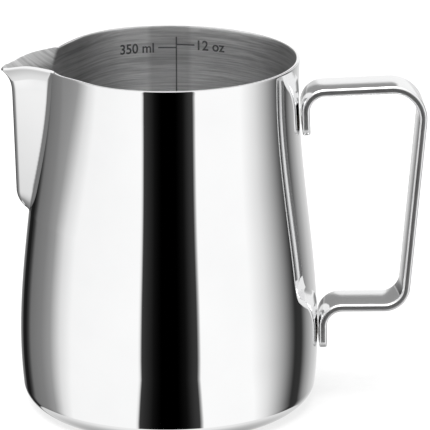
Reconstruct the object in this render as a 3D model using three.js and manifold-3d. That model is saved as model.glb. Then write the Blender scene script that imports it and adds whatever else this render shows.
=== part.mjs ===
// Milk frothing pitcher: a cup drawn from one stainless sheet, with a pressed V spout and a bent
// strap handle that is spot welded to its wall.
//
// Units are millimetres. The cup stands on z = 0 with its axis on Z. The handle points along +X
// and the spout along -X.

import * as THREE from "three";
import { mergeVertices } from "three/addons/utils/BufferGeometryUtils.js";
import Module from "manifold-3d";

// Cup: a round base corner, a wall that swells above it and stands nearly upright at the rim.
const height = 92;
const rimRadius = 33.8;
const baseRadius = 38.6; // where the corner meets the wall
const cornerWidth = 6.5;
const cornerHeight = 5.3;
const bellySwell = 2.7; // how far the wall curve's lower handle stands outside baseRadius
const neckTuck = 1.5; // how far its upper handle stands inside rimRadius
const sheet = 0.9; // thickness of the cup's sheet

// Stiffening bead pressed up into the base: a ring between two radii.
const beadInnerRadius = 21;
const beadOuterRadius = 27;
const beadRise = 0.6;
const beadSlope = 1.2; // radial width of each of its sloping sides

// Spout: a V pressed out of the wall, with a lip that flares out and down at its nose.
const spoutReach = 6.3; // rim circle to the nose line, without the lip's flare
const spoutDepth = 39.6; // rim to the foot of the spout
const spoutFoot = 4.6; // height over which the spout rounds back into the wall
const noseLean = 0.02; // how much the nose line draws in for each millimetre down
const noseRadius = 3.5;
const flankAngle = THREE.MathUtils.degToRad(39); // half the V's angle at the rim
const flankOpening = THREE.MathUtils.degToRad(6); // how much that grows down to the foot
const creaseRadius = 2.4; // fillet between a flank and the wall
const pinch = 2; // how far the wall beside the spout is drawn in at the rim
const pinchStart = THREE.MathUtils.degToRad(35); // full pinch inside this angle from the spout
const pinchEnd = THREE.MathUtils.degToRad(70); // none outside this one
const lipFlare = 2.7;
const lipHeight = 9; // height over which the lip flares
const lipDip = 0.6; // how far the whole spout's rim lies below the cup's rim
const dipStart = THREE.MathUtils.degToRad(25);
const dipEnd = THREE.MathUtils.degToRad(48);
const noseDroop = 2.4; // how much further the nose droops
const droopAngle = THREE.MathUtils.degToRad(7.5);
const droopDepth = 20; // height over which dip and droop fade out

// Handle: a flat strap with rounded edges, bent in one plane.
const strapWidth = 12;
const strapThickness = 2;
const strapEdgeRadius = 0.8;
const upperArmDrop = 8.5; // rim to the strap's middle at the upper tab
const upperArmRise = 1.3; // how much higher the arm is at the grip
const lowerArmHeight = 25.5;
const gripReach = 32.2; // rim circle to the grip's middle, at the upper arm
const gripLean = 4.5; // how far the grip leans in on its way down
const tabLength = 11.4; // strap's middle in the arm to the tab's end
const tabBendRadius = 5; // bend radii are measured to the strap's middle
const upperGripRadius = 8;
const lowerGripRadius = 5.7;
const weldGap = 0.3; // clearance between a tab and the wall, and round each weld nugget

// Spot welds: two nuggets in each tab.
const nuggetRadius = 1.8;
const nuggetLength = 0.9;
const nuggetSpacing = 5.8;

// Mesh fineness
const cupSegments = 64;
const spoutRows = 11;
const wallRows = 5;
const cornerRows = 4;
const bendSteps = 8;
const edgeSteps = 3;
const nuggetSegments = 24;

const polishedSteel = new THREE.MeshStandardMaterial({
  color: 0xdfe0e2,
  roughness: 0.06,
  metalness: 1,
});
const strapSteel = new THREE.MeshStandardMaterial({
  color: 0xd6d7d9,
  roughness: 0.14,
  metalness: 1,
});
const weldSteel = new THREE.MeshStandardMaterial({
  color: 0x8f8c88,
  roughness: 0.5,
  metalness: 1,
});

const { smoothstep } = THREE.MathUtils;
const wallHeight = height - cornerHeight;

// The wall's outer profile. Its handles are a third of the way in from each end, so height runs
// evenly along the curve.
const wallCurve = new THREE.CubicBezierCurve(
  new THREE.Vector2(baseRadius, cornerHeight),
  new THREE.Vector2(baseRadius + bellySwell, cornerHeight + wallHeight / 3),
  new THREE.Vector2(rimRadius - neckTuck, cornerHeight + (wallHeight * 2) / 3),
  new THREE.Vector2(rimRadius, height),
);

function wallRadius(z) {
  return wallCurve.getPoint((z - cornerHeight) / wallHeight).x;
}

// Heights of the wall's rings, from the rim down: close together at the lip and at the foot of the
// spout, then even down to the corner.
function ringHeights() {
  const heights = [];
  for (let row = 0; row < spoutRows; row++) {
    const share = (1 - Math.cos((Math.PI * row) / spoutRows)) / 2;
    heights.push(height - spoutDepth * share);
  }
  const lowest = height - spoutDepth;
  for (let row = 0; row <= wallRows; row++) {
    heights.push(lowest - ((lowest - cornerHeight) * row) / wallRows);
  }
  return heights;
}

// A quarter ellipse from the flat of the base to the wall, without its two ends.
function cornerPoints(inset) {
  const points = [];
  for (let row = 1; row < cornerRows; row++) {
    const angle = (Math.PI / 2) * (row / cornerRows);
    const across = (cornerWidth - inset) * Math.sin(angle);
    const up = (cornerHeight - inset) * (1 - Math.cos(angle));
    points.push(new THREE.Vector2(baseRadius - cornerWidth + across, inset + up));
  }
  return points;
}

// One face of the base, from the axis out to the corner. Lift is the sheet's thickness on the
// inside and zero on the underside.
function basePoints(lift) {
  return [
    new THREE.Vector2(0, lift),
    new THREE.Vector2(beadInnerRadius, lift),
    new THREE.Vector2(beadInnerRadius + beadSlope, lift + beadRise),
    new THREE.Vector2(beadOuterRadius - beadSlope, lift + beadRise),
    new THREE.Vector2(beadOuterRadius, lift),
    new THREE.Vector2(baseRadius - cornerWidth, lift),
  ];
}

// The cup's section before the spout is pressed: underside, outer wall, rim, inner wall, floor.
function cupProfile() {
  const rings = ringHeights();
  const outside = rings.map((z) => new THREE.Vector2(wallRadius(z), z));
  const inside = rings.map((z) => new THREE.Vector2(wallRadius(z) - sheet, z));
  return [
    ...basePoints(0),
    ...cornerPoints(0),
    ...outside.reverse(),
    ...inside,
    ...cornerPoints(sheet).reverse(),
    ...basePoints(sheet).reverse(),
  ];
}

// Radius of the V's outline in plan at an angle from its centreline: a round nose, a straight
// flank, and a concave fillet that meets the wall circle.
function veeRadius(turn, wallCircle, nose, halfAngle) {
  const normal = Math.PI / 2 - halfAngle;
  const noseCentre = nose - noseRadius;
  const flankDistance = noseCentre * Math.cos(normal) + noseRadius;
  const filletCentre = wallCircle + creaseRadius;
  const wallTurn = normal - Math.acos((flankDistance + creaseRadius) / filletCentre);
  if (turn >= wallTurn) return wallCircle;
  const tangentAngle = (centre, centreTurn, radius) =>
    Math.atan2(
      centre * Math.sin(centreTurn) + radius * Math.sin(normal),
      centre * Math.cos(centreTurn) + radius * Math.cos(normal),
    );
  if (turn <= tangentAngle(noseCentre, 0, noseRadius)) {
    const across = noseCentre * Math.sin(turn);
    return noseCentre * Math.cos(turn) + Math.sqrt(noseRadius ** 2 - across ** 2);
  }
  if (turn <= tangentAngle(filletCentre, wallTurn, -creaseRadius)) {
    return flankDistance / Math.cos(turn - normal);
  }
  const across = filletCentre * Math.sin(wallTurn - turn);
  return filletCentre * Math.cos(wallTurn - turn) - Math.sqrt(creaseRadius ** 2 - across ** 2);
}

// Outer radius of the pressed wall at an angle from the spout's centreline and a depth below the
// rim.
function pressedRadius(angle, depth) {
  const plain = wallRadius(height - depth);
  const turn = Math.abs(angle);
  if (depth >= spoutDepth) return plain;
  const down = depth / spoutDepth;
  const tucked = plain - pinch * (1 - down) * (1 - smoothstep(turn, pinchStart, pinchEnd));
  const flare = lipFlare * Math.max(1 - depth / lipHeight, 0) ** 3;
  const nose = rimRadius + spoutReach - noseLean * depth + flare;
  const intoFoot = Math.max(depth - (spoutDepth - spoutFoot), 0) / spoutFoot;
  const foot = Math.sqrt(1 - intoFoot ** 2);
  const vee = veeRadius(turn, tucked, nose, flankAngle + flankOpening * down);
  return tucked + (vee - tucked) * foot;
}

// How far the rim and the wall below it sink at the spout.
function pressedDroop(angle, depth) {
  const turn = Math.abs(angle);
  const fade = Math.max(1 - depth / droopDepth, 0) ** 2;
  const dip = lipDip * (1 - smoothstep(turn, dipStart, dipEnd));
  return (dip + noseDroop * Math.exp(-((turn / droopAngle) ** 2))) * fade;
}

// Presses the spout into the turned cup. A point keeps its distance from the outer skin, measured
// square to it, so the sheet stays equally thick where it is slanted.
function pressSpout(geometry) {
  const position = geometry.getAttribute("position");
  const step = 0.001;
  for (let i = 0; i < position.count; i++) {
    const x = position.getX(i);
    const y = position.getY(i);
    const z = position.getZ(i);
    const radius = Math.hypot(x, y);
    const depth = height - z;
    if (depth >= spoutDepth) continue;
    const angle = Math.atan2(y, -x);
    const skin = pressedRadius(angle, depth);
    const slant = (pressedRadius(angle + step, depth) - pressedRadius(angle - step, depth)) / (2 * step);
    const inset = (wallRadius(z) - radius) * Math.hypot(1, slant / skin);
    const scale = (skin - inset) / radius;
    position.setXYZ(i, x * scale, y * scale, z - pressedDroop(angle, depth));
  }
  return geometry;
}

function makeCup() {
  const geometry = new THREE.LatheGeometry(cupProfile(), cupSegments);
  geometry.rotateX(Math.PI / 2);
  const mesh = new THREE.Mesh(pressSpout(geometry), polishedSteel);
  mesh.name = "pitcher_body";
  return mesh;
}

// Handle layout in the XZ plane. A tab lies along the wall, so each of its ends is placed from the
// wall's radius at that height.
function tabPoint(z) {
  return new THREE.Vector2(wallRadius(z) + weldGap + strapThickness / 2, z);
}

const upperArmHeight = height - upperArmDrop;
const gripTopX = rimRadius + gripReach;
const upperTab = [tabPoint(upperArmHeight - tabLength), tabPoint(upperArmHeight)];
const lowerTab = [tabPoint(lowerArmHeight - tabLength), tabPoint(lowerArmHeight)];
const strapCorners = [
  upperTab[0],
  upperTab[1],
  new THREE.Vector2(gripTopX, upperArmHeight + upperArmRise),
  new THREE.Vector2(gripTopX - gripLean, lowerArmHeight),
  lowerTab[1],
  lowerTab[0],
];
const strapBendRadii = [tabBendRadius, upperGripRadius, lowerGripRadius, tabBendRadius];

// One long side of the strap: a chain of straight runs with a round bend at each inner corner,
// moved sideways by offset. A positive offset is on the left of the chain's direction.
function strapSide(offset) {
  const left = (direction) => new THREE.Vector2(-direction.y, direction.x);
  const last = strapCorners.length - 1;
  const heading = (i) => strapCorners[i + 1].clone().sub(strapCorners[i]).normalize();
  const points = [strapCorners[0].clone().addScaledVector(left(heading(0)), offset)];
  for (let i = 1; i < last; i++) {
    const before = heading(i - 1);
    const after = heading(i);
    const turn = Math.atan2(before.cross(after), before.dot(after));
    const side = Math.sign(turn);
    const radius = strapBendRadii[i - 1];
    const tangent = radius * Math.tan(Math.abs(turn) / 2);
    const centre = strapCorners[i]
      .clone()
      .addScaledVector(before, -tangent)
      .addScaledVector(left(before), side * radius);
    const spoke = left(before).multiplyScalar(offset - side * radius);
    for (let step = 0; step <= bendSteps; step++) {
      const swing = (turn * step) / bendSteps;
      points.push(spoke.clone().rotateAround(new THREE.Vector2(), swing).add(centre));
    }
  }
  points.push(strapCorners[last].clone().addScaledVector(left(heading(last - 1)), offset));
  return points;
}

function strapGeometry() {
  const halfThickness = strapThickness / 2;
  const outline = [...strapSide(halfThickness), ...strapSide(-halfThickness).reverse()];
  const depth = strapWidth - 2 * strapEdgeRadius;
  const geometry = new THREE.ExtrudeGeometry(new THREE.Shape(outline), {
    depth,
    bevelThickness: strapEdgeRadius,
    bevelSize: strapEdgeRadius,
    bevelOffset: -strapEdgeRadius,
    bevelSegments: edgeSteps,
  });
  geometry.translate(0, 0, -depth / 2);
  geometry.rotateX(Math.PI / 2);
  return geometry;
}

// Where a nugget sits: on the flat of a tab, its axis square to the tab's inner face. The local Y
// axis points from the wall into the tab, and y = 0 is the inner face.
function nuggetPlace(tab, side) {
  const [end, corner] = tab;
  const along = corner.clone().sub(end).normalize();
  const inward = new THREE.Vector2(along.y, -along.x);
  const middle = (tabLength - tabBendRadius) / 2;
  const face = end
    .clone()
    .addScaledVector(along, middle)
    .addScaledVector(inward, -strapThickness / 2);
  const axis = new THREE.Vector3(inward.x, 0, inward.y);
  const turn = new THREE.Quaternion().setFromUnitVectors(new THREE.Vector3(0, 1, 0), axis);
  const position = new THREE.Vector3(face.x, (side * nuggetSpacing) / 2, face.y);
  return new THREE.Matrix4().compose(position, turn, new THREE.Vector3(1, 1, 1));
}

const wasm = await Module();
wasm.setup();

function toSolid(geometry) {
  const bare = geometry.clone();
  bare.deleteAttribute("normal");
  bare.deleteAttribute("uv");
  const merged = mergeVertices(bare, 1e-4);
  const vertProperties = merged.getAttribute("position").array;
  const triVerts = new Uint32Array(merged.index.array);
  return new wasm.Manifold(new wasm.Mesh({ numProp: 3, vertProperties, triVerts }));
}

function fromSolid(solid) {
  const { numProp, vertProperties, triVerts } = solid.getMesh();
  const positions = new Float32Array((vertProperties.length / numProp) * 3);
  for (let i = 0; i < positions.length / 3; i++) {
    positions.set(vertProperties.subarray(i * numProp, i * numProp + 3), i * 3);
  }
  const geometry = new THREE.BufferGeometry();
  geometry.setAttribute("position", new THREE.BufferAttribute(positions, 3));
  geometry.setIndex(new THREE.BufferAttribute(triVerts, 1));
  geometry.computeVertexNormals();
  return geometry;
}

const weldPlaces = [
  { name: "weld_upper_front", place: nuggetPlace(upperTab, -1) },
  { name: "weld_upper_back", place: nuggetPlace(upperTab, 1) },
  { name: "weld_lower_front", place: nuggetPlace(lowerTab, -1) },
  { name: "weld_lower_back", place: nuggetPlace(lowerTab, 1) },
];

// The strap with a shallow round pocket for each nugget, open towards the wall.
function makeHandle() {
  const pocketDepth = nuggetLength + weldGap;
  const pocketRadius = nuggetRadius + weldGap;
  const cutLength = pocketDepth * 2;
  let solid = toSolid(strapGeometry());
  for (const { place } of weldPlaces) {
    const cut = new THREE.CylinderGeometry(pocketRadius, pocketRadius, cutLength, nuggetSegments);
    cut.applyMatrix4(place);
    solid = solid.subtract(toSolid(cut));
  }
  const mesh = new THREE.Mesh(fromSolid(solid), strapSteel);
  mesh.name = "handle";
  return mesh;
}

function makeNugget({ name, place }) {
  const geometry = new THREE.CylinderGeometry(nuggetRadius, nuggetRadius, nuggetLength, nuggetSegments);
  geometry.translate(0, nuggetLength / 2, 0);
  const mesh = new THREE.Mesh(geometry, weldSteel);
  mesh.name = name;
  mesh.applyMatrix4(place);
  return mesh;
}

const handle = new THREE.Group();
handle.add(makeHandle(), ...weldPlaces.map(makeNugget));

const pitcher = new THREE.Group();
pitcher.add(makeCup(), handle);

export default pitcher;
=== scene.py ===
# %% [markdown]
# # A milk frothing pitcher
# The pitcher is a cup drawn from one sheet of stainless steel, polished like a mirror outside and
# brushed inside, with a V spout pressed out of its wall and a strap handle spot welded to its back.
# The imported CAD model comes first. It is the fixed frame: every piece below is made in its place,
# in metres, and rides on its one body. The finished pitcher may not outgrow it.

# %% Load the imported model
import math

import bmesh
import bpy
from mathutils import Matrix, Vector


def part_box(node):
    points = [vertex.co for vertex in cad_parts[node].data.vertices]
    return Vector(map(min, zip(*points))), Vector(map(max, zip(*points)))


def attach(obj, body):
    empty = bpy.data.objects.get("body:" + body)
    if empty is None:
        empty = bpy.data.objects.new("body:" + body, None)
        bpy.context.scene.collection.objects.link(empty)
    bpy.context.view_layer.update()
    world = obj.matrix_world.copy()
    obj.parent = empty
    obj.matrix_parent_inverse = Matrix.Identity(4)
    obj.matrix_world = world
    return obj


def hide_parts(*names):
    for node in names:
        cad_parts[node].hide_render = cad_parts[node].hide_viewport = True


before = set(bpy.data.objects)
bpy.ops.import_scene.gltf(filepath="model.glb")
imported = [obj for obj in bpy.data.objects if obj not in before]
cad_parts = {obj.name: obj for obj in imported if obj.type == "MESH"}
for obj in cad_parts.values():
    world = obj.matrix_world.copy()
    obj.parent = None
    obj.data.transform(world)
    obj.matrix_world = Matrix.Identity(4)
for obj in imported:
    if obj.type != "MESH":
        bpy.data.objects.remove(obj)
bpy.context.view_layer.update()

mm = 0.001
print("nodes:", sorted(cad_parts))

# %% [markdown]
# ## The camera
# A long lens far away keeps the wall's sides nearly parallel, as in a catalogue picture. The camera
# stands straight in front of the cup, with the spout on its left and the handle on its right, and
# looks down on it by about 18 degrees, so the brushed inside shows. It is aimed a little to the
# right of the cup's axis and above its middle, instead of shifting the lens.

# %% Set up the camera
camera_distance = 711.5 * mm
camera_elevation = math.radians(18.24)
cup_middle = Vector((0, 0, 46.13 * mm))
camera_aim = Vector((12.05 * mm, 0, 49.45 * mm))

camera_data = bpy.data.cameras.new("catalogue_camera")
camera_data.lens = 228.5
camera_data.sensor_width = 36
camera_data.clip_end = 50
camera = bpy.data.objects.new("catalogue_camera", camera_data)
bpy.context.scene.collection.objects.link(camera)
camera.location = cup_middle + camera_distance * Vector(
    (0, -math.cos(camera_elevation), math.sin(camera_elevation))
)
camera.rotation_euler = (camera_aim - camera.location).to_track_quat("-Z", "Y").to_euler()
bpy.context.scene.camera = camera
print("camera at", [round(v, 4) for v in camera.location])

# %% [markdown]
# ## The cup's section
# A cup like this is pressed from a flat disc, so its section is one smooth line: a flat base with a
# shallow bead that keeps it from drumming, a round corner, and a wall that swells and then draws in
# to the rim. The wall is a Bezier curve with four handles. These are the same numbers as in the
# CAD part. Only the outer skin is drawn here, and the sheet gets its thickness later.

# %% The section's sizes
height = 92 * mm
rim_radius = 33.8 * mm
base_radius = 38.6 * mm
corner_width = 6.5 * mm
corner_height = 5.3 * mm
belly_swell = 2.7 * mm
neck_tuck = 1.5 * mm
sheet = 0.9 * mm
wall_height = height - corner_height
skin_ease = 0.04 * mm  # keeps this smooth curve inside the CAD wall's facets

bead_inner_radius = 21 * mm
bead_outer_radius = 27 * mm
bead_slope = 1.6 * mm
bead_rise = 0.6 * mm


def smooth_step(value, start, end):
    share = min(max((value - start) / (end - start), 0), 1)
    return share * share * (3 - 2 * share)


def wall_radius(z):
    """Radius of the wall's outer skin at a height, before the spout is pressed."""
    t = (z - corner_height) / wall_height
    handles = (base_radius, base_radius + belly_swell, rim_radius - neck_tuck, rim_radius)
    weights = ((1 - t) ** 3, 3 * t * (1 - t) ** 2, 3 * t * t * (1 - t), t**3)
    return sum(handle * weight for handle, weight in zip(handles, weights)) - skin_ease


def base_lift(radius):
    """Height of the underside at a radius: zero but for the bead."""
    up = smooth_step(radius, bead_inner_radius, bead_inner_radius + bead_slope)
    down = smooth_step(radius, bead_outer_radius - bead_slope, bead_outer_radius)
    return bead_rise * (up - down)


print("wall radius in mm every 20 mm up:", [round(wall_radius(z * mm) / mm, 2) for z in range(10, 92, 20)])

# %% [markdown]
# The section becomes a chain of points from the middle of the base to the rim. A mirror shows every
# uneven step, so the points lie close together where the shape turns: at the bead, in the corner, at
# the foot of the spout and at the lip. The wall stops a hair below the CAD rim, because the sheet's
# inner edge comes out slightly higher than its outer edge.

# %% List the section's points
rim_trim = 0.07 * mm
lip_height = 10 * mm


def evenly(start, end, steps):
    return [start + (end - start) * step / steps for step in range(steps + 1)]


flat_edge = base_radius - skin_ease - corner_width
section = [(radius, base_lift(radius)) for radius in evenly(0, bead_inner_radius, 9)]
section += [(radius, base_lift(radius)) for radius in evenly(bead_inner_radius, bead_outer_radius, 14)[1:]]
section += [(radius, 0) for radius in evenly(bead_outer_radius, flat_edge, 3)[1:]]
for turn in evenly(0, math.pi / 2, 12)[1:-1]:
    section.append((flat_edge + corner_width * math.sin(turn), corner_height * (1 - math.cos(turn))))
lip_start = height - lip_height
stretches = ((corner_height, 50 * mm, 34), (50 * mm, 58 * mm, 26), (58 * mm, lip_start, 19))
for low, high, rows in stretches:
    section += [(wall_radius(z), z) for z in evenly(low, high, rows)[:-1]]
section.append((wall_radius(lip_start), lip_start))
section += [(wall_radius(z), z) for z in evenly(lip_start, height - rim_trim, 18)[1:]]
print(len(section), "points from the axis to the rim")

# %% [markdown]
# ## Turning the cup
# By hand one would draw the half section and spin it round the axis, as a metal spinner turns a
# cup. A plane merged to a single point is the start. Each extrude of that point draws the next
# stretch of the section, and one spin makes the whole skin. Spin leaves a double seam and may turn
# the skin inside out, so the seam is merged and the normals are recalculated.

# %% Helpers for working on one piece
def deselect():
    bpy.ops.object.select_all(action="DESELECT")


def start_editing(piece):
    deselect()
    piece.select_set(True)
    bpy.context.view_layer.objects.active = piece
    bpy.ops.object.mode_set(mode="EDIT")


def stop_editing():
    bpy.ops.object.mode_set(mode="OBJECT")


def select_faces(piece, wanted):
    """Selects the faces, and nothing else, for which wanted(face) is true."""
    bpy.ops.mesh.select_mode(type="FACE")
    bpy.ops.mesh.select_all(action="DESELECT")
    mesh = bmesh.from_edit_mesh(piece.data)
    chosen = [face for face in mesh.faces if wanted(face)]
    for face in chosen:
        face.select_set(True)
    bmesh.update_edit_mesh(piece.data)
    return len(chosen)


def extrude(step):
    bpy.ops.mesh.extrude_region_move(TRANSFORM_OT_translate={"value": tuple(step)})


def apply_modifiers(piece):
    deselect()
    piece.select_set(True)
    bpy.context.view_layer.objects.active = piece
    for modifier in list(piece.modifiers):
        bpy.ops.object.modifier_apply(modifier=modifier.name)


# %% Draw the half section and spin it
segments = 360

deselect()
bpy.ops.mesh.primitive_plane_add(size=1 * mm, location=(0, 0, 0))
cup = bpy.context.object
cup.name = "polished_cup"
start_editing(cup)
bpy.ops.mesh.select_all(action="SELECT")
bpy.ops.mesh.merge(type="CENTER")
bpy.ops.mesh.select_mode(type="VERT")
bpy.ops.mesh.select_all(action="SELECT")
for (radius, z), (next_radius, next_z) in zip(section, section[1:]):
    extrude((next_radius - radius, 0, next_z - z))
bpy.ops.mesh.select_all(action="SELECT")
bpy.ops.mesh.spin(steps=segments, angle=2 * math.pi, center=(0, 0, 0), axis=(0, 0, 1))
bpy.ops.mesh.select_all(action="SELECT")
bpy.ops.mesh.remove_doubles(threshold=0.001 * mm)
bpy.ops.mesh.normals_make_consistent(inside=False)
stop_editing()
print("turned skin:", len(cup.data.vertices), "points,", len(cup.data.polygons), "faces")

# %% [markdown]
# ## Pressing the spout
# The real spout is pushed out with a die: a V with a round nose, two flat flanks and a sharp crease
# where each flank meets the wall. Its foot rounds back into the wall, and its lip flares out and
# droops so that milk leaves it cleanly. No edit-mode operator presses a round wall into that shape,
# so each point of the skin is moved by the die's own outline. In plan that outline is a nose arc, a
# straight flank and a small concave fillet.

# %% The die's outline
spout_reach = 6.3 * mm
spout_depth = 39.6 * mm
spout_foot = 4.6 * mm
nose_lean = 0.02
nose_radius = 3.5 * mm
flank_angle = math.radians(39)
flank_opening = math.radians(6)
crease_radius = 1.4 * mm
pinch = 2 * mm
pinch_start, pinch_end = math.radians(35), math.radians(70)


def vee_radius(turn, wall, nose, half_angle):
    """Radius of the V at an angle from its middle, where the wall has the radius given."""
    normal = math.pi / 2 - half_angle
    nose_centre = nose - nose_radius
    flank_distance = nose_centre * math.cos(normal) + nose_radius
    fillet_centre = wall + crease_radius
    wall_turn = normal - math.acos((flank_distance + crease_radius) / fillet_centre)
    if turn >= wall_turn:
        return wall

    def tangent_angle(centre, centre_turn, radius):
        across = centre * math.sin(centre_turn) + radius * math.sin(normal)
        along = centre * math.cos(centre_turn) + radius * math.cos(normal)
        return math.atan2(across, along)

    if turn <= tangent_angle(nose_centre, 0, nose_radius):
        across = nose_centre * math.sin(turn)
        return nose_centre * math.cos(turn) + math.sqrt(nose_radius**2 - across**2)
    if turn <= tangent_angle(fillet_centre, wall_turn, -crease_radius):
        return flank_distance / math.cos(turn - normal)
    across = fillet_centre * math.sin(wall_turn - turn)
    return fillet_centre * math.cos(wall_turn - turn) - math.sqrt(crease_radius**2 - across**2)


# %% How the lip flares and droops
lip_flare = 2.7 * mm
flare_height = 9 * mm
lip_dip = 0.6 * mm
dip_start, dip_end = math.radians(25), math.radians(48)
nose_droop = 2.4 * mm
droop_angle = math.radians(7.5)
droop_depth = 20 * mm


def pressed_radius(turn, depth):
    """Radius of the pressed skin at an angle from the spout and a depth below the rim."""
    plain = wall_radius(height - depth)
    down = depth / spout_depth
    tucked = plain - pinch * (1 - down) * (1 - smooth_step(turn, pinch_start, pinch_end))
    flare = lip_flare * max(1 - depth / flare_height, 0) ** 3
    nose = rim_radius + spout_reach - nose_lean * depth + flare
    into_foot = max(depth - (spout_depth - spout_foot), 0) / spout_foot
    foot = math.sqrt(1 - into_foot**2)
    vee = vee_radius(turn, tucked, nose, flank_angle + flank_opening * down)
    return tucked + (vee - tucked) * foot


def pressed_droop(turn, depth):
    """How far the rim, and less and less the wall below it, sinks at the spout."""
    fade = max(1 - depth / droop_depth, 0) ** 2
    dip = lip_dip * (1 - smooth_step(turn, dip_start, dip_end))
    return (dip + nose_droop * math.exp(-((turn / droop_angle) ** 2))) * fade


# %% [markdown]
# The spin left the segments evenly spaced, which is too coarse for the nose and wasteful at the
# back. So each point first slides round the axis, which crowds the segments towards the spout. The
# circle stays a circle, and only then is the die pressed in.

# %% Crowd the segments and press
crowding = 0.72


def press_spout(piece):
    for vertex in piece.data.vertices:
        x, y, z = vertex.co
        radius = math.hypot(x, y)
        angle = math.atan2(y, -x)
        angle -= crowding * math.sin(angle)
        depth = height - z
        if depth < spout_depth:
            radius = pressed_radius(abs(angle), depth)
            z -= pressed_droop(abs(angle), depth)
        vertex.co = (-radius * math.cos(angle), radius * math.sin(angle), z)
    piece.data.update()


press_spout(cup)
print("the nose reaches", round(-min(v.co.x for v in cup.data.vertices) / mm, 2), "mm from the axis")

# %% [markdown]
# ## The sheet's thickness
# Solidify grows the wall inwards from the outer skin. It also gives the inside its own material
# slot, because the inside is brushed while the outside is polished. A small Bevel takes the
# sharpness off the two edges of the rim, as a file does in the workshop.

# %% Thicken the skin and round the rim
rim_bevel = 0.14 * mm

outside_finish = bpy.data.materials.new("mirror_polished_steel")
inside_finish = bpy.data.materials.new("brushed_steel_inside")
cup.data.materials.append(outside_finish)
cup.data.materials.append(inside_finish)

wall = cup.modifiers.new("wall", "SOLIDIFY")
wall.thickness = sheet
wall.offset = -1
wall.use_even_offset = True
wall.material_offset = 1
wall.material_offset_rim = 0
edge = cup.modifiers.new("rim_edge", "BEVEL")
edge.limit_method = "ANGLE"
edge.angle_limit = math.radians(50)
edge.width = rim_bevel
edge.segments = 2
apply_modifiers(cup)
bpy.ops.object.shade_smooth_by_angle(angle=math.radians(40))

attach(cup, "root")
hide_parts("pitcher_body")
print("cup:", sum(len(p.vertices) - 2 for p in cup.data.polygons), "triangles")
print("rim tops out at", round(max(v.co.z for v in cup.data.vertices) / mm, 3), "mm")

# %% [markdown]
# ## The strap handle
# The handle is one flat steel strap with rolled edges, bent four times. It is modelled the way it
# is bent: a small section is drawn, extruded along each straight run, and spun round the centre of
# each bend. The corners come from the CAD part, and each tab starts beside the wall.

# %% The strap's corners and bends
strap_width = 12 * mm
strap_thickness = 2 * mm
weld_gap = 0.3 * mm
tab_length = 11.4 * mm
upper_arm_height = height - 8.5 * mm
lower_arm_height = 25.5 * mm
upper_arm_rise = 1.3 * mm
grip_top = rim_radius + 32.16 * mm
grip_lean = 4.5 * mm
bend_radii = [5 * mm, 8 * mm, 5.7 * mm, 5 * mm]


def beside_wall(z):
    return Vector((wall_radius(z) + skin_ease + weld_gap + strap_thickness / 2, 0, z))


strap_corners = [
    beside_wall(upper_arm_height - tab_length),
    beside_wall(upper_arm_height),
    Vector((grip_top, 0, upper_arm_height + upper_arm_rise)),
    Vector((grip_top - grip_lean, 0, lower_arm_height)),
    beside_wall(lower_arm_height),
    beside_wall(lower_arm_height - tab_length),
]
print("strap corners in mm:", [(round(c.x / mm, 1), round(c.z / mm, 1)) for c in strap_corners])

# %% [markdown]
# The section starts as a plane square to the first run. Bevelling its four corners gives it rolled
# edges. Spin extrudes the chosen face step by step round an axis, so a bend is one call. The two
# tips are left a little short here, because their rounded corners come next.

# %% Draw the section and sweep it
rolled_edge = 0.62 * mm
tip_round = 2.2 * mm
bend_steps = 16

headings = [(after - before).normalized() for before, after in zip(strap_corners, strap_corners[1:])]
sweep_start = strap_corners[0] + headings[0] * tip_round
lean = math.atan2(headings[0].x, headings[0].z)

deselect()
bpy.ops.mesh.primitive_plane_add(size=1, location=sweep_start, rotation=(0, lean, 0))
strap = bpy.context.object
strap.name = "strap_handle"
strap.scale = (strap_thickness, strap_width, 1)
bpy.ops.object.transform_apply(location=True, rotation=True, scale=True)
start_editing(strap)
bpy.ops.mesh.select_all(action="SELECT")
bpy.ops.mesh.bevel(offset=rolled_edge, offset_type="OFFSET", segments=6, profile=0.5, affect="VERTICES")
bpy.ops.mesh.select_mode(type="FACE")
bpy.ops.mesh.select_all(action="SELECT")

reached = sweep_start
for i, radius in enumerate(bend_radii):
    before, after = headings[i], headings[i + 1]
    turn = math.atan2(before.cross(after).y, before.dot(after))
    bend_start = strap_corners[i + 1] - before * radius * math.tan(abs(turn) / 2)
    sideways = before.cross(Vector((0, 1, 0))) * (-math.copysign(1, turn))
    centre = bend_start + sideways * radius
    extrude(bend_start - reached)
    bpy.ops.mesh.spin(steps=bend_steps, angle=-turn, center=tuple(centre), axis=(0, 1, 0))
    reached = centre + Matrix.Rotation(turn, 4, "Y") @ (bend_start - centre)
extrude(strap_corners[-1] - headings[-1] * tip_round - reached)
stop_editing()
print("swept strap:", len(strap.data.polygons), "faces, ends at", [round(v / mm, 2) for v in reached])

# %% [markdown]
# The tips are rounded in plan, and their ends are eased. Each tip grows by a few short extrudes, and
# each one is narrower than the last, so that its corners follow a quarter circle.

# %% Round the two tips
tip_ease = 0.6 * mm


def round_tip(tip, outward):
    """Grows the strap from its cap to the tip, in steps that narrow along a quarter circle."""
    cap = tip - outward * tip_round
    found = select_faces(strap, lambda face: (face.calc_center_median() - cap).length < 0.01 * mm)
    width, thickness, grown = 1, 1, 0
    for turn in evenly(0, math.pi / 2, 9)[1:]:
        advance = tip_round * math.sin(turn)
        eased = max(advance - (tip_round - tip_ease), 0) / tip_ease
        new_width = 1 - 2 * tip_round * (1 - math.cos(turn)) / strap_width
        new_thickness = 1 - 2 * tip_ease * (1 - math.sqrt(1 - eased**2)) / strap_thickness
        extrude(outward * (advance - grown))
        bpy.ops.transform.resize(
            value=(new_thickness / thickness, new_width / width, 1),
            center_override=tuple(cap + outward * advance),
        )
        width, thickness, grown = new_width, new_thickness, advance
    return found


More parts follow.
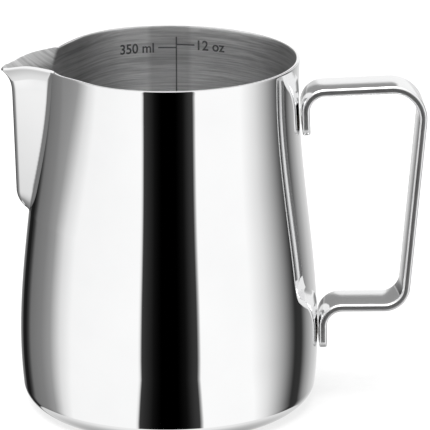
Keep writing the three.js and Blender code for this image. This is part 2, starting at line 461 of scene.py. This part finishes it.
start_editing(strap)
caps = round_tip(strap_corners[0], -headings[0]) + round_tip(strap_corners[-1], headings[-1])
stop_editing()
print(caps, "tips rounded, strap is", len(strap.data.polygons), "faces")

# %% [markdown]
# Four spot welds hold the tabs. The CAD model has a small steel nugget between each tab and the
# wall, in a shallow pocket of the strap. The nuggets stay as they are, so the new strap needs the
# same pockets. A round cutter and a Boolean modifier make each one at the nugget's own place.

# %% Cut a pocket for each weld
pocket_radius = 2.1 * mm
pocket_depth = 1.2 * mm
nugget_length = 0.9 * mm


def cut_pocket(node, heading):
    low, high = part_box(node)
    into_tab = heading.cross(Vector((0, 1, 0)))
    into_tab *= math.copysign(1, into_tab.x)
    face_middle = (low + high) / 2 - into_tab * nugget_length / 2
    deselect()
    bpy.ops.mesh.primitive_cylinder_add(
        vertices=48,
        radius=pocket_radius,
        depth=2 * pocket_depth,
        location=face_middle,
        rotation=into_tab.to_track_quat("Z", "Y").to_euler(),
    )
    cutter = bpy.context.object
    cut = strap.modifiers.new("pocket", "BOOLEAN")
    cut.operation = "DIFFERENCE"
    cut.solver = "EXACT"
    cut.object = cutter
    apply_modifiers(strap)
    bpy.data.objects.remove(cutter)


for name in ("weld_upper_front", "weld_upper_back"):
    cut_pocket(name, headings[0])
for name in ("weld_lower_front", "weld_lower_back"):
    cut_pocket(name, headings[-1])
deselect()
strap.select_set(True)
bpy.context.view_layer.objects.active = strap
bpy.ops.object.shade_smooth_by_angle(angle=math.radians(35))

strap_finish = bpy.data.materials.new("satin_polished_strap")
strap.data.materials.append(strap_finish)
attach(strap, "root")
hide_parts("handle")
print("strap with pockets:", len(strap.data.polygons), "faces")

# %% [markdown]
# ## The measure inside
# A line runs down the inside of the back wall, with a short stroke and a number where the cup holds
# a round amount. The marks are etched, so they are dark, matt and almost flat. Only the two top
# strokes show on the real cup, so their heights are given. The others are worked out: the inside is
# filled slice by slice until it holds the amount. That sum leaves out the spout, which holds some milk
# too, so each scale is then moved down as a whole until its top stroke stands at its own height.

# %% Where each amount stands
slice_height = 0.05 * mm
millilitre = 1e-6
fluid_ounce = 29.574 * millilitre


def filled_height(amount):
    z = sheet
    while amount > 0:
        radius = wall_radius(max(z, corner_height)) - sheet
        if z < corner_height:
            share = 1 - (z - sheet) / (corner_height - sheet)
            radius -= (corner_width - sheet) * (1 - math.sqrt(1 - share**2))
        amount -= math.pi * radius**2 * slice_height
        z += slice_height
    return z


top_millilitre_mark = 86.05 * mm
top_ounce_mark = 86.87 * mm
millilitres_down = filled_height(350 * millilitre) - top_millilitre_mark
ounces_down = filled_height(12 * fluid_ounce) - top_ounce_mark
for amount in (150, 250, 350):
    z = filled_height(amount * millilitre) - millilitres_down
    print(amount, "ml stands at", round(z / mm, 1), "mm")

# %% [markdown]
# Lines and numbers are laid out flat and then bent onto the inside of the wall: x becomes a length
# round the wall, and y a height. A long line is subdivided first, or it would cut straight through
# the curve. They stand a few hundredths of a millimetre off the wall, so the two never flicker.

# %% Bend a flat piece onto the inside
stand_off = 0.03 * mm
etch_height = 0.02 * mm


def bend_inside(piece):
    """Bends a flat piece, drawn in x and y with its thickness in z, onto the inside back wall."""
    for vertex in piece.data.vertices:
        along, z, out = vertex.co
        inside = wall_radius(z) - sheet
        angle = along / inside
        radius = inside - stand_off - out
        vertex.co = (radius * math.sin(angle), radius * math.cos(angle), z)
    piece.data.update()


def etched_bar(left, right, low, high):
    deselect()
    bpy.ops.mesh.primitive_plane_add(size=1)
    bar = bpy.context.object
    bar.scale = (right - left, high - low, 1)
    bar.location = ((left + right) / 2, (low + high) / 2, 0)
    bpy.ops.object.transform_apply(location=True, rotation=False, scale=True)
    start_editing(bar)
    bpy.ops.mesh.select_all(action="SELECT")
    bpy.ops.mesh.subdivide(number_cuts=40 if high - low > 20 * mm else 12)
    extrude((0, 0, etch_height))
    bpy.ops.mesh.select_all(action="SELECT")
    bpy.ops.mesh.normals_make_consistent(inside=False)
    stop_editing()
    return bar


# %% [markdown]
# Numbers are text objects in the font that Blender carries. A text is turned into a mesh before it
# is placed, and scaled to the height and width that the real figures have.

# %% Write a number
figure_boldness = 0.018  # how far the outlines grow, as a share of the letter size


def etched_text(words, left, low, width, tall):
    deselect()
    bpy.ops.object.text_add()
    text = bpy.context.object
    text.data.body = words
    text.data.resolution_u = 4
    text.data.extrude = etch_height / 2
    text.data.offset = figure_boldness
    bpy.ops.object.convert(target="MESH")
    text = bpy.context.object
    corners = [Vector(corner) for corner in text.bound_box]
    size = corners[6] - corners[0]
    for vertex in text.data.vertices:
        x = left + (vertex.co.x - corners[0].x) * width / size.x
        y = low + (vertex.co.y - corners[0].y) * tall / size.y
        vertex.co = (x, y, vertex.co.z + etch_height / 2)
    return text


# %% Etch the measure
line_place = 2.3 * mm
line_width = 0.38 * mm
stroke_length = 4.9 * mm
figure_height = 2.75 * mm

marks = [etched_bar(line_place - line_width / 2, line_place + line_width / 2, 22 * mm, 89 * mm)]
for amount, words, width in ((350, "350 ml", 9.3), (250, "250", 5.6), (150, "150", 5.6)):
    z = filled_height(amount * millilitre) - millilitres_down
    left = line_place - stroke_length
    marks.append(etched_bar(left, line_place - line_width / 2, z - line_width / 2, z + line_width / 2))
    left -= (width + 1.1) * mm
    marks.append(etched_text(words, left, z - figure_height / 2, width * mm, figure_height))
for amount, words, width in ((12, "12 oz", 7.6), (8, "8", 1.8), (4, "4", 1.8)):
    z = filled_height(amount * fluid_ounce) - ounces_down
    right = line_place + stroke_length
    marks.append(etched_bar(line_place + line_width / 2, right, z - line_width / 2, z + line_width / 2))
    marks.append(etched_text(words, right + 0.9 * mm, z - figure_height / 2, width * mm, figure_height))

deselect()
for mark in marks:
    mark.select_set(True)
bpy.context.view_layer.objects.active = marks[0]
bpy.ops.object.join()
measure = bpy.context.object
measure.name = "etched_measure"
bend_inside(measure)

etched_finish = bpy.data.materials.new("etched_steel")
measure.data.materials.clear()
measure.data.materials.append(etched_finish)
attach(measure, "root")
print("measure:", len(marks), "marks,", len(measure.data.polygons), "faces")

# %% [markdown]
# ## Writing finishes
# A finish is a tree of shader nodes. Two small classes keep the trees readable. A Signal is a value
# on a socket, and arithmetic on it adds the Math nodes. A Finish adds every other node, from its
# type, its settings and what goes into its sockets.

# %% Signals and finishes
class Signal:
    def __init__(self, finish, socket):
        self.finish = finish
        self.socket = socket

    def math(self, operation, *values):
        return self.finish.add("ShaderNodeMath", {"operation": operation}, values)

    def __add__(self, other):
        return self.math("ADD", self, other)

    def __sub__(self, other):
        return self.math("SUBTRACT", self, other)

    def __mul__(self, other):
        return self.math("MULTIPLY", self, other)

    def __truediv__(self, other):
        return self.math("DIVIDE", self, other)

    def __radd__(self, other):
        return self.math("ADD", other, self)

    def __rsub__(self, other):
        return self.math("SUBTRACT", other, self)

    def __rmul__(self, other):
        return self.math("MULTIPLY", other, self)

    def __pow__(self, other):
        return self.math("POWER", self, other)


class Finish:
    def __init__(self, owner):
        owner.use_nodes = True
        self.tree = owner.node_tree
        self.tree.nodes.clear()

    def add(self, kind, settings=None, sockets=(), output=0):
        node = self.tree.nodes.new(kind)
        for name, value in (settings or {}).items():
            if name == "stops":
                self.set_stops(node.color_ramp.elements, value)
            else:
                setattr(node, name, value)
        pairs = sockets.items() if isinstance(sockets, dict) else enumerate(sockets)
        for key, value in pairs:
            if isinstance(value, Signal):
                self.tree.links.new(value.socket, node.inputs[key])
            else:
                node.inputs[key].default_value = value
        return Signal(self, node.outputs[output]) if node.outputs else None

    def set_stops(self, elements, stops):
        while len(elements) > 1:
            elements.remove(elements[-1])
        for i, (position, shade) in enumerate(stops):
            element = elements[0] if i == 0 else elements.new(position)
            element.position = position
            element.color = (*shade, 1) if isinstance(shade, tuple) else (shade, shade, shade, 1)

    def place(self):
        """The x, y and z of the point on the piece."""
        point = self.add("ShaderNodeTexCoord", output="Object")
        return [self.add("ShaderNodeSeparateXYZ", None, [point], axis) for axis in "XYZ"]

    def noise(self, x, y, z, detail=3, roughness=0.5):
        where = self.add("ShaderNodeCombineXYZ", None, [x, y, z])
        sockets = {"Vector": where, "Scale": 1, "Detail": detail, "Roughness": roughness}
        return self.add("ShaderNodeTexNoise", None, sockets)

    def ramp(self, value, stops):
        return self.add("ShaderNodeValToRGB", {"stops": stops}, [value])

    def band(self, value, start, end):
        """0 below start, 1 above end, and smooth between."""
        sockets = {"Value": value, "From Min": start, "From Max": end}
        return self.add("ShaderNodeMapRange", {"interpolation_type": "SMOOTHSTEP"}, sockets)

    def shade(self, colour, share):
        """The colour, darkened to a share of itself."""
        return self.add("ShaderNodeVectorMath", {"operation": "SCALE"}, {"Vector": colour, "Scale": share})

    def bump(self, height, strength, distance):
        sockets = {"Height": height, "Strength": strength, "Distance": distance}
        return self.add("ShaderNodeBump", None, sockets)

    def surface(self, sockets):
        shader = self.add("ShaderNodeBsdfPrincipled", None, sockets)
        self.add("ShaderNodeOutputMaterial", None, {"Surface": shader})


# %% [markdown]
# ## Mirror polish
# Polished steel is nearly a perfect mirror, so what shows is what it reflects. It still isn't
# flawless: the sheet is very slightly wavy from the drawing, the buffing wheel leaves hairlines
# round the wall, hands leave a faint film, and the foot is scuffed where it stands.

# %% The outside
steel = Finish(outside_finish)
x, y, z = steel.place()
film = steel.noise(x * 45, y * 45, z * 45, detail=4, roughness=0.55)
hairlines = steel.noise(x * 90, y * 90, z * 7000, detail=2)
scuffs = steel.noise(x * 900, y * 900, z * 900, detail=3, roughness=0.7)
foot = steel.ramp(z * 400, [(0, 1), (0.32, 0.5), (0.9, 0)])
waves = steel.noise(x * 38, y * 38, z * 26, detail=1)
steel.surface({
    "Base Color": steel.ramp(film, [(0.3, (0.9, 0.902, 0.905)), (0.7, (0.935, 0.936, 0.938))]),
    "Metallic": 1.0,
    "Roughness": 0.006 + film * 0.014 + hairlines * 0.01 + foot * scuffs * 0.22,
    "Normal": steel.bump(waves, 0.35, 0.00002),
})

# %% [markdown]
# ## Brushed inside
# Inside, an abrasive wheel ran round and round, so the scratches follow the circumference: rings on
# the wall and circles on the floor. One coordinate does both. Height minus radius grows up the wall
# and shrinks across the floor, so noise that is fine along it and coarse round the cup gives
# streaks everywhere. The shader's anisotropy stretches the highlights across the scratches. Upright
# bands of the wall are darkened in the base colour. This is painted shade, standing in for the darker
# reflections that the inside shows. Here it belongs to the steel, so it stays in place.

# %% The inside
brushed = Finish(inside_finish)
x, y, z = brushed.place()
radius = (x * x + y * y) ** 0.5
run = z - radius
fine = brushed.noise(x * 75, y * 75, run * 2300, detail=5, roughness=0.7)
broad = brushed.noise(x * 24, y * 24, run * 560, detail=3, roughness=0.6)
streaks = fine * 0.65 + broad * 0.35
towards_spout = (0 - x / radius) * 0.5 + 0.5
# painted shade: upright bands of the wall darkened in the base colour, where the inside shows darker
# reflections
painted_shade_bands = brushed.ramp(towards_spout, [
    (0, 0.5), (0.05, 0.56), (0.14, 0.9), (0.2, 1), (0.4, 1), (0.42, 0.78), (0.565, 0.78), (0.585, 1),
    (0.7, 0.96), (0.8, 0.7), (0.87, 0.5), (0.91, 0.52), (0.925, 0.5), (1, 0.62),
])
# the painted shade stays on the wall and off the floor of the cup
painted_shade_bands = 1 + (painted_shade_bands - 1) * brushed.band(z, 0.004, 0.012)
steel_tones = [(0.4, (0.62, 0.62, 0.622)), (0.5, (0.84, 0.84, 0.842)), (0.58, (1, 1, 1))]
brushed.surface({
    # the base colour carries the painted shade bands
    "Base Color": brushed.shade(brushed.ramp(streaks, steel_tones), painted_shade_bands),
    "Metallic": 1.0,
    "Roughness": 0.3 + streaks * 0.22,
    "Anisotropic": 0.55,
    "Normal": brushed.bump(streaks, 0.6, 0.00006),
})

# %% [markdown]
# ## The strap's finish
# The strap is belt polished before it is bent, so its fine lines run along it, and it is a touch
# softer than the wall. Its lines are noise that is fine across the strap and long along it. Its cut
# edges are only tumbled, so they are much duller than its faces.

# %% The strap
belt = Finish(strap_finish)
x, y, z = belt.place()
lines = belt.noise(x * 70, y * 6500, z * 70, detail=3, roughness=0.6)
film = belt.noise(x * 120, y * 120, z * 120, detail=3)
edge_start = strap_width / 2 - 0.55 * mm
edges = belt.band(y.math("ABSOLUTE", y), edge_start, strap_width / 2 - 0.3 * mm)
belt.surface({
    "Base Color": belt.ramp(lines, [(0.3, (0.84, 0.842, 0.845)), (0.7, (0.92, 0.921, 0.923))]),
    "Metallic": 1.0,
    "Roughness": 0.06 + lines * 0.04 + film * 0.03 + edges * 0.2,
    "Normal": belt.bump(lines, 0.25, 0.00001),
})

# %% [markdown]
# ## Welds and etching
# A weld nugget has been molten, so it is dull, with a straw and blue tint from the heat. The etched
# marks are an oxide: dark, matt, and a little uneven where the current bit less.

# %% The welds and the marks
weld_finish = bpy.data.materials.new("heat_tinted_weld")
weld = Finish(weld_finish)
x, y, z = weld.place()
blotches = weld.noise(x * 900, y * 900, z * 900, detail=4, roughness=0.6)
tints = [(0.3, (0.2, 0.19, 0.22)), (0.5, (0.42, 0.36, 0.28)), (0.7, (0.5, 0.48, 0.46))]
weld.surface({
    "Base Color": weld.ramp(blotches, tints),
    "Metallic": 1.0,
    "Roughness": 0.4 + blotches * 0.3,
    "Normal": weld.bump(blotches, 0.4, 0.0001),
})
for name in ("weld_upper_front", "weld_upper_back", "weld_lower_front", "weld_lower_back"):
    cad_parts[name].material_slots[0].material = weld_finish

etch = Finish(etched_finish)
x, y, z = etch.place()
bite = etch.noise(x * 2500, y * 2500, z * 2500, detail=3, roughness=0.6)
etch.surface({
    "Base Color": etch.ramp(bite, [(0.3, (0.045, 0.045, 0.047)), (0.7, (0.085, 0.085, 0.088))]),
    "Metallic": 0.4,
    "Roughness": 0.5 + bite * 0.2,
})

# %% [markdown]
# ## The studio
# A mirror can't be lit, only surrounded. Catalogue steel stands in a white tent with black cards:
# the dark stripe down the middle is a card in front of the lens, and the grey edges are the gaps
# at the tent's sides. Here the tent is painted on the world by compass direction, with a soft box
# overhead. The front card widens downwards. The floor is plain and pale, and mirrors don't see it,
# as if the pitcher stood on glass.

# %% The tent
world = bpy.data.worlds.new("studio_tent")
bpy.context.scene.world = world
tent = Finish(world)
direction = tent.add("ShaderNodeTexCoord", output="Generated")
x, y, z = [tent.add("ShaderNodeSeparateXYZ", None, [direction], axis) for axis in "XYZ"]


def grey(value):
    """The light that polished steel shows as a grey from 0, black, to 255, white."""
    share = value / 255
    linear = share / 12.92 if share <= 0.04045 else ((share + 0.055) / 1.055) ** 2.4
    return linear / 0.92


def bearing(degrees):
    """Where a direction lies on the ramp: 0 degrees is the lens, and minus is to its left."""
    return degrees / 360 + 0.5


widths = [
    (0, 0.5), (0.139, 0.519), (0.276, 0.53), (0.342, 0.53), (0.4, 0.558), (0.465, 0.59), (0.54, 0.63),
]
spread = tent.ramp(0 - z, widths) * 2  # a ramp holds 0 to 1, so the widths are halved
turn = x.math("ARCTAN2", x, 0 - y) / (2 * math.pi)
in_front = tent.band(0.3 - turn.math("ABSOLUTE", turn), 0, 0.15)
compass = turn / (1 + (spread - 1) * in_front) + 0.5
cards = [
    (-180, 240), (-172, 190), (-165, 120), (-158, 95), (-155, 30), (-146, 25), (-140, 60), (-134, 110),
    (-116, 125), (-104, 150), (-91, 220), (-78, 245), (-21.2, 250), (-20.7, 60), (-17, 45), (-11, 15),
    (-6, 0), (6, 0), (12, 15), (17, 50), (20.9, 60), (21.4, 250), (62, 250), (78, 220),
    (91, 180), (107, 100), (113, 45), (123, 50), (132, 140), (146, 190), (180, 240),
]
ring = tent.ramp(compass, [(bearing(at), grey(value)) for at, value in cards])
print(len(cards), "stops round the tent")


def blend(below, above, share):
    return below + (above - below) * share


# %% [markdown]
# The cards stop at a height. Behind the pitcher the white paper ends a little above the lens, and
# above and beside it the room is grey, which the lower arm of the handle shows. A fainter grey at
# its left gives the upper arm's shoulder its shade. Below the cards lies the table, bright in front
# and darker where the pitcher shades it. The lens itself sees plain white.

# %% Above, behind and below the cards
behind = tent.band(y, 0.82, 0.9) * tent.band(z, -0.04, 0.02)
aside = ((x - 0.07) * (x - 0.07) + z * z) ** 0.5
past_paper = tent.band(aside, 0.285, 0.31) * tent.band(0.2 - x, 0, 0.08) * (1 - tent.band(z, 0.8, 0.93))
shoulder = tent.band(0 - x, 0.04, 0.14) * 0.6
room = blend(1.0, 0.5, behind * shoulder)
room = blend(room, 0.3, behind * past_paper)
wall_light = blend(ring, 1.0, behind)
facing = (0 - y) / (x * x + y * y + 0.0001) ** 0.5
table = tent.ramp(0 - z, [(0.55, 0.97), (0.66, 0.9), (0.8, 0.68), (1, 0.4)]) * (0.85 + facing * 0.15)
light = blend(wall_light, room, blend(behind, 1.0, tent.band(z, 0.275, 0.305)))
light = blend(light, table, tent.band(0 - z, 0.545, 0.565))
seen_by_lens = tent.add("ShaderNodeLightPath", output="Is Camera Ray")
light = blend(light, 1.0, seen_by_lens)
background = tent.add("ShaderNodeBackground", None, {"Color": (1, 1, 1, 1), "Strength": light})
tent.add("ShaderNodeOutputWorld", None, {"Surface": background})

# %% The soft box and the floor
softbox_data = bpy.data.lights.new("soft_box", "AREA")
softbox_data.shape = "DISK"
softbox_data.size = 1.4
softbox_data.energy = 36
softbox = bpy.data.objects.new("soft_box", softbox_data)
softbox.location = (-0.25, -0.2, 1.5)
softbox.rotation_euler = (-softbox.location).to_track_quat("-Z", "Y").to_euler()
bpy.context.scene.collection.objects.link(softbox)

floor_size = 8
deselect()
bpy.ops.mesh.primitive_plane_add(size=floor_size, location=(0, 0, -0.02 * mm))
floor = bpy.context.object
floor.name = "floor"
floor.visible_glossy = False
floor_finish = bpy.data.materials.new("pale_floor")
floor.data.materials.append(floor_finish)
paper = Finish(floor_finish)
fibres = paper.noise(*[place * 300 for place in paper.place()])
paper.surface({
    "Base Color": paper.ramp(fibres, [(0.3, 0.22), (0.7, 0.24)]),
    "Roughness": 0.9,
    "Specular IOR Level": 0.1,
    "Emission Color": (1, 1, 1, 1),
    "Emission Strength": 0.72,
})

bpy.context.scene.view_settings.view_transform = "Standard"
bpy.context.scene.view_settings.look = "None"
